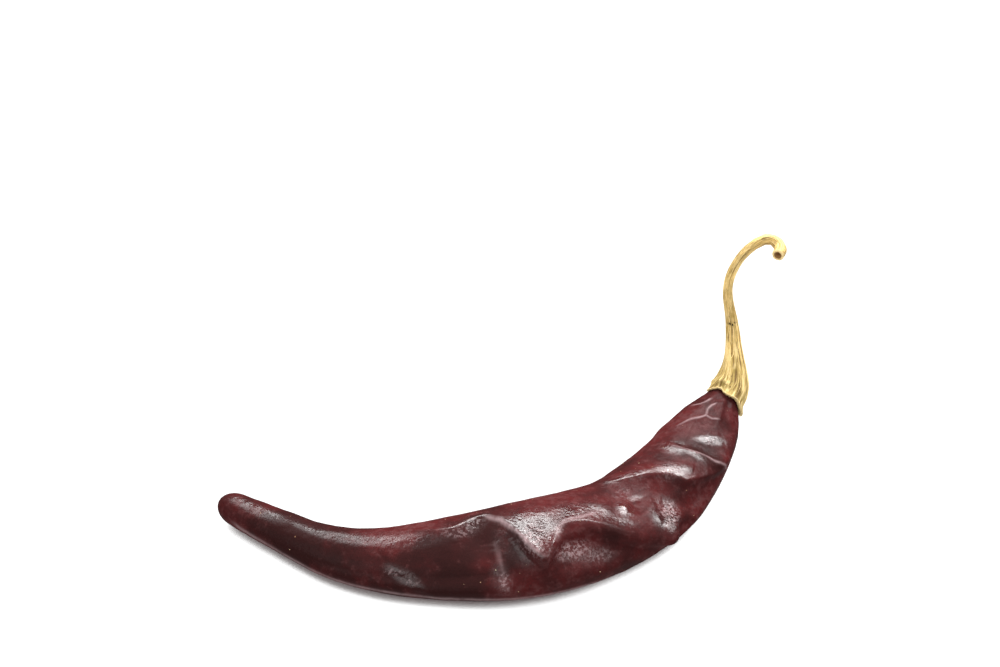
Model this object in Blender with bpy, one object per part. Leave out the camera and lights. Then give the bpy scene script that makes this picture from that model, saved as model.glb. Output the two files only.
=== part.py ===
# One dried chilli, lying on its belly: a hollowed, flattened pod that curves like a crescent, and the woody
# calyx and stem that grip its neck. +X runs from the tip to the neck, +Z is up, and the belly rests on Z = 0.
# All driving dimensions are in millimetres; MM turns them into Blender's metres.

import math

import bmesh
import bpy
import numpy as np

MM = 0.001

# The spine is one smooth line from the pod's tip, through its neck, to the cut end of the stem.
BASE_CENTRE = (2.5, 31.9)  # middle of the footprint, which becomes the origin
POD_SPINE = [
    (-67.0, 22.8, 5.0),
    (-63.7, 20.5, 4.8),
    (-51.4, 12.2, 4.9),
    (-36.6, 3.8, 5.1),
    (-18.0, -0.4, 6.9),
    (-0.6, 0.3, 8.1),
    (17.4, 5.8, 8.4),
    (33.0, 17.0, 7.8),
    (45.8, 34.3, 9.3),
    (53.6, 46.6, 12.7),
    (57.1, 52.1, 14.9),
]
STEM_SPINE = [
    (58.8, 54.5, 16.9),
    (59.7, 57.6, 20.9),
    (59.7, 61.0, 25.0),
    (59.2, 65.2, 30.6),
    (58.4, 69.2, 37.4),
    (60.9, 72.4, 43.1),
    (65.6, 74.2, 47.4),
    (69.2, 74.4, 48.4),
    (71.1, 71.8, 47.5),
    (70.0, 68.5, 47.0),
]
SPINE_SAMPLES = 1200

# Pod sections: distance from the tip, half width, half thickness.
POD_SECTIONS = [
    (0.0, 3.60, 3.40),
    (10.0, 4.35, 4.00),
    (28.0, 5.75, 4.80),
    (46.0, 8.30, 6.30),
    (64.0, 11.60, 8.00),
    (82.0, 13.50, 8.95),
    (101.0, 12.60, 8.45),
    (120.0, 11.90, 8.25),
    (133.0, 10.40, 7.50),
    (145.0, 7.95, 6.20),
    (154.5, 4.10, 3.65),
    (160.0, 3.60, 3.20),
]
TIP_CAP = 5.5  # length over which the tip rounds off
NECK_CAP = 2.6  # the same for the end inside the calyx


def spline_through(knots, values, at):
    """A natural cubic curve through the values, read at the given places."""
    knots = np.asarray(knots, float)
    values = np.asarray(values, float)
    count = len(knots)
    gaps = np.diff(knots)
    system = np.eye(count)
    right = np.zeros_like(values)
    for i in range(1, count - 1):
        system[i, i - 1 : i + 2] = gaps[i - 1], 2 * (gaps[i - 1] + gaps[i]), gaps[i]
        rise = (values[i + 1] - values[i]) / gaps[i]
        right[i] = 6 * (rise - (values[i] - values[i - 1]) / gaps[i - 1])
    bend = np.linalg.solve(system, right)
    i = np.clip(np.searchsorted(knots, at) - 1, 0, count - 2)
    gap = gaps[i][:, None]
    after = (at - knots[i])[:, None]
    before = (knots[i + 1] - at)[:, None]
    curved = (bend[i] * before**3 + bend[i + 1] * after**3) / (6 * gap)
    start = values[i] / gap - bend[i] * gap / 6
    end = values[i + 1] / gap - bend[i + 1] * gap / 6
    return curved + start * before + end * after


def lengths_along(points):
    steps = np.linalg.norm(np.diff(points, axis=0), axis=1)
    return np.concatenate([[0.0], np.cumsum(steps)])


class Spine:
    """The centre line with a sideways and an upward direction that never twist about it."""

    def __init__(self, points):
        points = np.array(points, float)
        knots = lengths_along(points)
        self.centre = spline_through(knots, points, np.linspace(0, knots[-1], SPINE_SAMPLES))
        self.reach = lengths_along(self.centre)
        self.length = self.reach[-1]
        forward = np.gradient(self.centre, self.reach, axis=0)
        forward /= np.linalg.norm(forward, axis=1)[:, None]
        self.sideways = np.zeros_like(forward)
        side = np.cross((0, 0, 1), forward[0])
        for i, ahead in enumerate(forward):
            side = side - ahead * (side @ ahead)
            side /= np.linalg.norm(side)
            self.sideways[i] = side
        self.upward = np.cross(forward, self.sideways)

    def read(self, table, along):
        return np.stack([np.interp(along, self.reach, table[:, axis]) for axis in range(3)], -1)

    def place(self, along, sideways, upward):
        """Points at these distances along the line and offsets across it."""
        centre = self.read(self.centre, along)
        across = sideways[:, None] * self.read(self.sideways, along)
        rise = upward[:, None] * self.read(self.upward, along)
        return centre + across + rise


SPINE = Spine(POD_SPINE + STEM_SPINE)
NECK_AT = lengths_along(np.array(POD_SPINE, float))[-1]  # where the calyx begins
POD_END = NECK_AT + 2.0  # the pod goes this far into the calyx

# Ledges that drying left in the skin. The skin stays high up to a line, then sags in a flat hollow. Each place on a
# line has a distance from the tip, degrees round the pod (0 back, 90 top, 180 front), the degrees from which the
# skin runs straight out to the line, the hollow's depth, and the distance from the line to its deepest part.
WAVY_LEDGE = [
    (18, 108, 99, 0.0, 5.0),
    (26, 98, 99, 0.1, 5.0),
    (32, 90, 99, 0.4, 6.0),
    (38, 80, 99, 0.8, 7.0),
    (44, 75, 99, 0.9, 8.0),
    (50, 77, 99, 1.1, 9.0),
    (56, 83, 99, 1.6, 9.5),
    (61, 87, 99, 2.0, 10.0),
    (65, 82, 99, 2.5, 10.0),
    (69.2, 71, 99, 3.0, 10.5),
    (71.9, 74, 99, 3.0, 10.5),
    (73.9, 84, 99, 2.6, 10.0),
    (75.9, 100, 99, 2.0, 8.5),
    (77.4, 116, 100, 1.3, 7.0),
    (78.9, 129, 104, 0.8, 6.0),
    (80.3, 137, 108, 0.5, 6.0),
    (81.8, 131, 104, 0.8, 6.0),
    (83.4, 121, 98, 1.2, 6.5),
    (84.8, 114, 95, 1.6, 7.0),
    (86.5, 111, 93, 1.8, 7.0),
    (88.6, 111, 92, 1.9, 7.0),
    (90.4, 114, 93, 1.8, 7.0),
    (94.4, 126, 100, 1.2, 6.0),
    (97, 136, 112, 0.8, 5.0),
    (100.8, 152, 136, 0.6, 4.5),
    (104, 165, 142, 0.6, 4.0),
    (107.4, 172, 130, 0.6, 4.0),
    (110.4, 157, 130, 0.7, 4.0),
    (114.8, 167, 145, 0.5, 4.0),
    (118, 180, 175, 0.3, 4.0),
    (122, 190, 190, 0.0, 4.0),
]
SLANTING_LEDGES = [
    (
        1,  # the side that sags: 1 towards the front, -1 towards the tip
        1.8,  # millimetres over which the skin drops from the line
        2.2,  # where the sag ends, in distances from the line to its deepest part
        [
            (101, 50, 99, 0.0, 3.0),
            (105, 70, 99, 1.0, 6.0),
            (107.8, 78, 99, 1.7, 6.5),
            (112.6, 89, 99, 2.4, 7.0),
            (116.4, 105, 106, 2.7, 7.0),
            (117.4, 117, 114, 2.7, 7.0),
            (118.6, 128, 118, 2.6, 6.5),
            (120.8, 135, 122, 2.2, 6.0),
            (125.6, 148, 136, 1.4, 5.0),
            (132.4, 172, 165, 0.6, 4.0),
            (136, 192, 192, 0.0, 4.0),
        ],
    ),
    (
        -1,
        1.4,
        5.0,
        [
            (124, 58, 99, 0.0, 3.0),
            (128, 72, 99, 0.3, 3.0),
            (127.2, 99, 99, 0.5, 3.2),
            (128.4, 114, 112, 0.7, 3.2),
            (129, 129, 124, 0.8, 3.2),
            (132.4, 170, 168, 0.5, 3.0),
            (135, 192, 192, 0.0, 3.0),
        ],
    ),
]
WAVY_FALL = 4.8
WAVY_END = 3.0
HIGHEST_LIFT = 3.0
FRONT_EDGE = [(0, 162), (95, 162), (106, 180), (115, 170), (124, 156), (135, 154), (150, 160)]
FRONT_FADE = 26  # degrees over which the ledges die out under the front, from FRONT_EDGE on

# Single hollows: distance from the tip, degrees, half length, half width in degrees, depth.
HOLLOWS = [
    (38.0, 150.0, 22.0, 44.0, 0.15),
    (104.4, 120.0, 2.8, 13.0, 0.60),
    (143.0, 98.0, 10.0, 24.0, 0.60),
    (147.0, 140.0, 9.0, 26.0, 0.50),
]
BACK_HOLLOWS = 30  # more of them on the back and the far side
BACK_SEED = 11
PLEATS = 11  # gathers round the neck, under the calyx
PLEAT_DEPTH = 0.20
PLEAT_LENGTH = 15.0


def section_sizes(along):
    """Half width and half thickness of the pod, without its rounded ends."""
    table = np.array(POD_SECTIONS)
    return spline_through(table[:, 0], table[:, 1:], along)


def end_rounding(along):
    """1 along the pod, falling to 0 round its tip and its neck end."""
    into_tip = np.clip(along / TIP_CAP, 0, 1)
    into_neck = np.clip((POD_END - along) / NECK_CAP, 0, 1)
    return np.sqrt(1 - (1 - into_tip) ** 2.2) * np.sqrt(1 - (1 - into_neck) ** 2)


def back_hollows():
    """Hollows for the sides that face away, drawn at random from a fixed seed."""
    draw = np.random.default_rng(BACK_SEED)
    found = []
    for i in range(BACK_HOLLOWS):
        along = 16 + 132 * (i + draw.uniform(0.1, 0.9)) / BACK_HOLLOWS
        around = draw.uniform(-80, 22)
        found.append((along, around, draw.uniform(6, 13), draw.uniform(20, 42), draw.uniform(0.35, 0.95)))
        draw.uniform(0, 1, 2)
    return found


def smooth_step(value):
    value = np.clip(value, 0, 1)
    return value * value * (3 - 2 * value)


def degrees_apart(around, other):
    return (around - other + 180) % 360 - 180


def from_line(along, around, per_degree, places):
    """Signed distance in millimetres from a line on the skin, and how far along it the nearest spot is."""
    best = np.full(len(along), 1e9)
    signed = np.zeros(len(along))
    spot = np.zeros(len(along))
    for i, (start, end) in enumerate(zip(places[:-1], places[1:])):
        run_x, run_y = end[0] - start[0], (end[1] - start[1]) * per_degree
        off_x, off_y = along - start[0], degrees_apart(around, start[1]) * per_degree
        share = np.clip((off_x * run_x + off_y * run_y) / (run_x**2 + run_y**2), 0, 1)
        away = np.hypot(off_x - share * run_x, off_y - share * run_y)
        across = (run_x * off_y - run_y * off_x) / np.hypot(run_x, run_y)
        rank = away - 0.001 * np.abs(across)
        closer = rank < best
        best = np.where(closer, rank, best)
        signed = np.where(closer, np.sign(across) * away, signed)
        spot = np.where(closer, i + share, spot)
    return signed, spot


def ledge_height(along, around, radius, across, straight, drop, width, fall, end):
    """The lift before a ledge's line and the sag beyond it; across is the distance beyond the line."""
    drop = np.maximum(drop, 0)
    raised = radius * (1 / np.cos(np.radians(np.clip(degrees_apart(around, straight), 0, 60))) - 1)
    raised = HIGHEST_LIFT * np.tanh(raised / HIGHEST_LIFT)
    raised = raised * (1 - smooth_step((-across - 5) / 4)) * smooth_step(drop / 0.4)
    share = np.maximum(across, 0) / width
    sag = np.where(share < 1, share * (2 - share), 1 - smooth_step((share - 1) / (end - 1)))
    edge = np.interp(along, *np.array(FRONT_EDGE).T)
    front = 1 - smooth_step((around - edge) / FRONT_FADE)
    return (raised * (1 - smooth_step(across / fall)) - drop * sag) * front


def all_ledges(along, around, per_degree, radius):
    """The sum of every ledge. The wavy one is read straight round the pod, so its tongues reach down the front."""
    table = np.array(WAVY_LEDGE)
    inside = np.clip(along, table[0, 0], table[-1, 0])
    turn, straight, drop, width = spline_through(table[:, 0], table[:, 1:], inside).T
    across = degrees_apart(around, turn) * per_degree
    total = ledge_height(along, around, radius, across, straight, drop, width, WAVY_FALL, WAVY_END)
    for side, fall, end, places in SLANTING_LEDGES:
        signed, spot = from_line(along, around, per_degree, places)
        steps = np.arange(len(places))
        straight, drop, width = (np.interp(spot, steps, column) for column in np.array(places)[:, 2:].T)
        total += ledge_height(along, around, radius, signed * side, straight, drop, width, fall, end)
    return total


def skin_relief(along, around):
    """How far the skin lies outside its plain section, in millimetres; around is in degrees."""
    wide, thick = section_sizes(along).T
    per_degree = math.pi / 180 * (wide + thick) / 2
    radius = np.hypot(wide * np.cos(np.radians(around)), thick * np.sin(np.radians(around)))
    relief = all_ledges(along, around, per_degree, radius)
    for middle, turn, half_length, half_width, depth in HOLLOWS + back_hollows():
        across = degrees_apart(around, turn) / half_width
        inside = np.clip(1 - ((along - middle) / half_length) ** 2 - across**2, 0, 1)
        relief -= depth * inside * (1 + inside) / 2
    size = np.clip(per_degree * 6.67, 0.25, 1)  # shallower where the pod is slim
    gather = smooth_step((along - (NECK_AT - PLEAT_LENGTH)) / PLEAT_LENGTH)
    pleats = PLEAT_DEPTH * gather * np.sin(np.radians(around * PLEATS) + along * 0.12)
    belly = smooth_step((np.abs(degrees_apart(around, 270)) - 30) / 20)
    keep = smooth_step(along / 14) * (1 - smooth_step((along - NECK_AT + 4) / 3))
    return (relief * size * belly + pleats) * keep


def pod_offsets(along, turn):
    """Sideways and upward offsets of the pod's skin at a distance and an angle in radians."""
    wide, thick = section_sizes(along).T
    sideways = wide * np.cos(turn)
    upward = thick * np.sin(turn)
    radius = np.hypot(sideways, upward)
    scale = (1 + skin_relief(along, np.degrees(turn)) / radius) * end_rounding(along)
    return sideways * scale, upward * scale


POD_AROUND = 60
POD_ALONG = 74
END_CROWDING = 0.62  # how much closer the rings stand near the ends


def pod_points(share, turn):
    """Lays a sphere's vertices out as the pod: share runs from 0 at the tip to 1 at the neck end."""
    share = share - END_CROWDING * np.sin(2 * math.pi * share) / (2 * math.pi)
    along = share * POD_END
    points = SPINE.place(along, *pod_offsets(along, turn))
    points[:, 2] = np.maximum(points[:, 2], 0)  # the belly is pressed flat where it lies
    return points


# Calyx and stem: distance from the calyx's rim and radius, up the outside to the cut end.
STEM_PROFILE = [
    (0.0, 4.95),
    (2.4, 4.80),
    (5.0, 4.40),
    (7.5, 3.80),
    (10.0, 3.05),
    (13.0, 2.35),
    (16.0, 1.95),
    (20.0, 1.65),
    (24.0, 1.36),
    (28.0, 1.18),
    (33.0, 1.14),
    (39.0, 1.18),
    (45.0, 1.32),
    (54.0, 1.60),
]
STEM_RINGS = 46
END_RADIUS = 1.58  # the cut end swells to a ring
END_LIP = 0.62  # radius of the pit in the cut end
PIT_DEPTH = 1.1
CUP_GAP = 0.36  # clearance between the calyx and the pod's neck
CUP_WALL = 0.40
CALYX_LEAN = 0.85  # how much further the calyx stands out on the side towards the pod's outer curve
LEAN_REACH = 8.5  # height over which that fades
RIM_TILT = 0.8  # how far the rim runs down the outer curve and up the inner one
RIM_AT = NECK_AT - 1.0  # the rim reaches a little way over the shoulder
FLARE = 4.5  # height over which the calyx takes the neck's oval
STEM_AROUND = 26
RIBS = 5
RIB_HEIGHT = 0.055  # share of the radius
TEETH = 5
TOOTH_LENGTH = 0.55
TOOTH_REACH = 7.0  # teeth fade out this far up the calyx
CUP_REACH = 2.4  # and this far up inside its cup


def stem_rings():
    """The rings of the woody piece: from the floor of its cup, down to the rim, up the outside and into the
    pit of its cut end. Each is a distance along the spine and a radius; inside the cup the radius is a share."""
    rings = [(POD_END + CUP_GAP, 0.0), (POD_END + CUP_GAP, 0.45), (POD_END - 0.5, 1.0), (POD_END - 1.4, 1.0)]
    rings += [(RIM_AT + 0.8, 1.0), (RIM_AT, 1.0)]
    cup_rings = len(rings)
    top = SPINE.length - 0.9
    heights = (top - RIM_AT) * np.linspace(0, 1, STEM_RINGS) ** 1.25
    table = np.array(STEM_PROFILE)
    radii = spline_through(table[:, 0], table[:, 1:], heights)[:, 0]
    rings += list(zip(RIM_AT + heights, radii))
    end = SPINE.length
    rings += [(end - 0.3, END_RADIUS), (end, END_RADIUS - 0.35), (end, END_LIP + 0.3), (end - 0.25, END_LIP)]
    rings += [(end - PIT_DEPTH, END_LIP * 0.8), (end - PIT_DEPTH, 0.0)]
    return np.array(rings), cup_rings


STEM_RING_TABLE, CUP_RINGS = stem_rings()


def stem_points(share, turn):
    """Lays a sphere's vertices out as the calyx and stem: one of its rings for each ring of the table."""
    ring = np.rint(share * (len(STEM_RING_TABLE) - 1)).astype(int)
    along, radius = STEM_RING_TABLE[ring].T
    above_rim = np.maximum(along - RIM_AT, 0)
    in_cup = ring < CUP_RINGS
    teeth = TOOTH_LENGTH * (np.sin(TEETH * turn + 0.9) + 0.45 * np.sin(3 * turn + 2.1))
    tilt = RIM_TILT * np.cos(turn - 0.5)
    along = along + (teeth + tilt) * (1 - smooth_step(above_rim / np.where(in_cup, CUP_REACH, TOOTH_REACH)))
    neck = np.hypot(*pod_offsets(np.minimum(along, POD_END) - CUP_GAP, turn)) + CUP_GAP
    wide, thick = section_sizes(np.minimum(along, POD_END)).T
    grip = np.hypot(wide * np.cos(turn), thick * np.sin(turn)) + CUP_GAP + CUP_WALL
    ribbed = smooth_step(above_rim / 3) * (1 - 0.6 * smooth_step((above_rim - 12) / 20))
    ribs = 1 + RIB_HEIGHT * ribbed * np.sin(RIBS * turn + 0.15 * above_rim)
    flare = 1 - smooth_step(above_rim / FLARE)
    lean = CALYX_LEAN * (1 - np.cos(turn)) / 2 * (1 - smooth_step(above_rim / LEAN_REACH))
    outside = radius * ribs * (1 - flare) + grip * flare + lean
    radius = np.where(in_cup, radius * neck, outside)
    return SPINE.place(along, radius * np.cos(turn), radius * np.sin(turn))


def material(name, colour, roughness):
    made = bpy.data.materials.new(name)
    made.use_nodes = True
    shader = made.node_tree.nodes["Principled BSDF"]
    shader.inputs["Base Color"].default_value = (*colour, 1)
    shader.inputs["Roughness"].default_value = roughness
    shader.inputs["Metallic"].default_value = 0
    return made


def formed_from_sphere(name, around, along, layout, finish, collection):
    """A sphere whose poles become a piece's two ends and whose rings become its sections, from the lower up."""
    mesh = bpy.data.meshes.new(name)
    shape = bmesh.new()
    bmesh.ops.create_uvsphere(shape, u_segments=around, v_segments=along, radius=1)
    start = np.array([vertex.co for vertex in shape.verts])
    share = np.arccos(np.clip(-start[:, 2], -1, 1)) / math.pi
    points = layout(share, np.arctan2(start[:, 1], start[:, 0]))
    points[:, :2] -= BASE_CENTRE
    for vertex, point in zip(shape.verts, points * MM):
        vertex.co = point
    shape.to_mesh(mesh)
    shape.free()
    mesh.shade_smooth()
    made = bpy.data.objects.new(name, mesh)
    made.data.materials.append(finish)
    collection.objects.link(made)
    return made


def build():
    for old in list(bpy.data.objects):
        bpy.data.objects.remove(old)
    chilli = bpy.data.collections.new("dried_chilli")
    bpy.context.scene.collection.children.link(chilli)
    skin = material("chilli_skin", (0.075, 0.014, 0.016), 0.3)
    wood = material("stem_wood", (0.52, 0.38, 0.12), 0.75)
    formed_from_sphere("pod", POD_AROUND, POD_ALONG, pod_points, skin, chilli)
    rings = len(STEM_RING_TABLE) - 1
    formed_from_sphere("calyx_and_stem", STEM_AROUND, rings, stem_points, wood, chilli)


build()
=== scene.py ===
# The looks of one dried chilli: glossy wrinkled skin, fibrous calyx and stem, pale floor and soft light.
# Sizes are in millimetres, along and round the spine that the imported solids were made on.
import math

import bpy
import numpy as np
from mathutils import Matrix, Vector, noise


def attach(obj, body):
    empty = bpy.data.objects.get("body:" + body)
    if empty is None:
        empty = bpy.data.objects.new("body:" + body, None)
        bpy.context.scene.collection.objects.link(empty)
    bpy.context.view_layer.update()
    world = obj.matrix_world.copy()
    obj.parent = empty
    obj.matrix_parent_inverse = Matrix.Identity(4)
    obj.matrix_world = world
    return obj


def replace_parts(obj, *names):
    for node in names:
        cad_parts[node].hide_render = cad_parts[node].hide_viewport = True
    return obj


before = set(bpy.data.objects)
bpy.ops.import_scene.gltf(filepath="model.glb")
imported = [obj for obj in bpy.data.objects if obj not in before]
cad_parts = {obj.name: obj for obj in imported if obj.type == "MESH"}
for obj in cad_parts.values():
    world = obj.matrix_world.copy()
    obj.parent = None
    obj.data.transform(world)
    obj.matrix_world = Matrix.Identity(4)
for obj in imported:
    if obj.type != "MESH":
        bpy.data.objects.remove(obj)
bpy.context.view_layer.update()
mm = 0.001
print("frame loaded:", sorted(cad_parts))

# the centre line, from the pod's tip through its neck to the cut end of the stem
spineSettings = {
    "baseCentre": (2.5, 31.9),
    "pod": [
        (-67.0, 22.8, 5.0), (-63.7, 20.5, 4.8), (-51.4, 12.2, 4.9), (-36.6, 3.8, 5.1),
        (-18.0, -0.4, 6.9), (-0.6, 0.3, 8.1), (17.4, 5.8, 8.4), (33.0, 17.0, 7.8),
        (45.8, 34.3, 9.3), (53.6, 46.6, 12.7), (57.1, 52.1, 14.9),
    ],
    "stem": [
        (58.8, 54.5, 16.9), (59.7, 57.6, 20.9), (59.7, 61.0, 25.0), (59.2, 65.2, 30.6),
        (58.4, 69.2, 37.4), (60.9, 72.4, 43.1), (65.6, 74.2, 47.4), (69.2, 74.4, 48.4),
        (71.1, 71.8, 47.5), (70.0, 68.5, 47.0),
    ],
    "samples": 1200,
}


def splineThrough(knots, values, at):
    # a natural cubic curve through the values
    knots, values, at = (np.asarray(part, float) for part in (knots, values, at))
    count = len(knots)
    gaps = np.diff(knots)
    system = np.eye(count)
    right = np.zeros_like(values)
    for i in range(1, count - 1):
        system[i, i - 1:i + 2] = gaps[i - 1], 2 * (gaps[i - 1] + gaps[i]), gaps[i]
        rise = (values[i + 1] - values[i]) / gaps[i]
        right[i] = 6 * (rise - (values[i] - values[i - 1]) / gaps[i - 1])
    bend = np.linalg.solve(system, right)
    i = np.clip(np.searchsorted(knots, at) - 1, 0, count - 2)
    gap = gaps[i][:, None]
    after = (at - knots[i])[:, None]
    before = (knots[i + 1] - at)[:, None]
    curved = (bend[i] * before ** 3 + bend[i + 1] * after ** 3) / (6 * gap)
    start = values[i] / gap - bend[i] * gap / 6
    end = values[i + 1] / gap - bend[i + 1] * gap / 6
    return curved + start * before + end * after


def readTable(rows, at):
    # a smooth curve through the rows of a table, whose first column is where each row stands
    table = np.array(rows, float)
    return splineThrough(table[:, 0], table[:, 1:], at)


def lengthsAlong(points):
    steps = np.linalg.norm(np.diff(np.asarray(points, float), axis=0), axis=1)
    return np.concatenate([[0.0], np.cumsum(steps)])


class Spine:
    # the centre line, with a sideways and an upward direction that never twist about it
    def __init__(self, settings):
        points = np.array(settings["pod"] + settings["stem"], float)
        knots = lengthsAlong(points)
        self.centre = splineThrough(knots, points, np.linspace(0, knots[-1], settings["samples"]))
        self.reach = lengthsAlong(self.centre)
        self.length = self.reach[-1]
        self.forward = np.gradient(self.centre, self.reach, axis=0)
        self.forward /= np.linalg.norm(self.forward, axis=1)[:, None]
        self.sideways = np.zeros_like(self.forward)
        side = np.cross((0, 0, 1), self.forward[0])
        for i, ahead in enumerate(self.forward):
            side = side - ahead * (side @ ahead)
            side /= np.linalg.norm(side)
            self.sideways[i] = side
        self.upward = np.cross(self.forward, self.sideways)
        self.base = np.array([*settings["baseCentre"], 0.0])

    def read(self, table, along):
        return np.stack([np.interp(along, self.reach, table[:, axis]) for axis in range(3)], -1)

    def place(self, along, sideways, upward):
        # millimetre offsets from the line become places in the part's frame, still in millimetres
        across = sideways[:, None] * self.read(self.sideways, along)
        rise = upward[:, None] * self.read(self.upward, along)
        return self.read(self.centre, along) + across + rise - self.base


spine = Spine(spineSettings)
neckAt = lengthsAlong(spineSettings["pod"])[-1]


def smoothStep(value, low=0.0, high=1.0):
    value = np.clip((value - low) / (high - low), 0, 1)
    return value * value * (3 - 2 * value)


def degreesApart(around, other):
    return (around - other + 180) % 360 - 180


def fractalNoise(points, scale, octaves, shift):
    # one value a point; scale is the size of the largest ripples in millimetres
    fineness, step = 0.9, 2.1
    placed = points / scale + shift
    return np.array([noise.fractal(Vector(point), fineness, step, octaves) for point in placed])


podSettings = {
    "ringsAlong": 388,
    "ringsAround": 246,
    # how much closer the rings stand at the two ends
    "crowding": 0.45,
    # how long the rounding of each end is, and how blunt
    "tipCap": (5.5, 2.2),
    "neckCap": (2.6, 2.0),
    # how far the pod runs on inside the calyx
    "insideCalyx": 2.0,
    # ripples all over the skin: height, size, shift of the noise
    "ripples": [(0.10, 7.0, 3.0), (0.035, 1.8, 9.0)],
    "ripplesStart": 10,
    # distance from the tip, half width, half thickness
    "sections": [
        (0.0, 3.60, 3.40), (10.0, 4.35, 4.00), (28.0, 5.75, 4.80), (46.0, 8.30, 6.30),
        (64.0, 11.60, 8.00), (82.0, 13.50, 8.95), (101.0, 12.60, 8.45), (120.0, 11.90, 8.25),
        (133.0, 10.40, 7.50), (145.0, 7.95, 6.20), (154.5, 4.10, 3.65), (160.0, 3.60, 3.20),
    ],
}
podEnd = neckAt + podSettings["insideCalyx"]

# Places on the skin are (distance from the tip, degrees round the pod), with 0 degrees at the back, 90 on
# top and 180 at the front. These are the sharp ridges near the neck, which also carry painted highlights.
neckRidges = [
    [(135.5, 69), (139.0, 81), (142.4, 97), (142.2, 110), (143.2, 122)],
    [(142.4, 97), (145.0, 92), (146.8, 94), (148.4, 100)],
    [(144.8, 60), (145.8, 73), (147.0, 80), (149.2, 84)],
]

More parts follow.
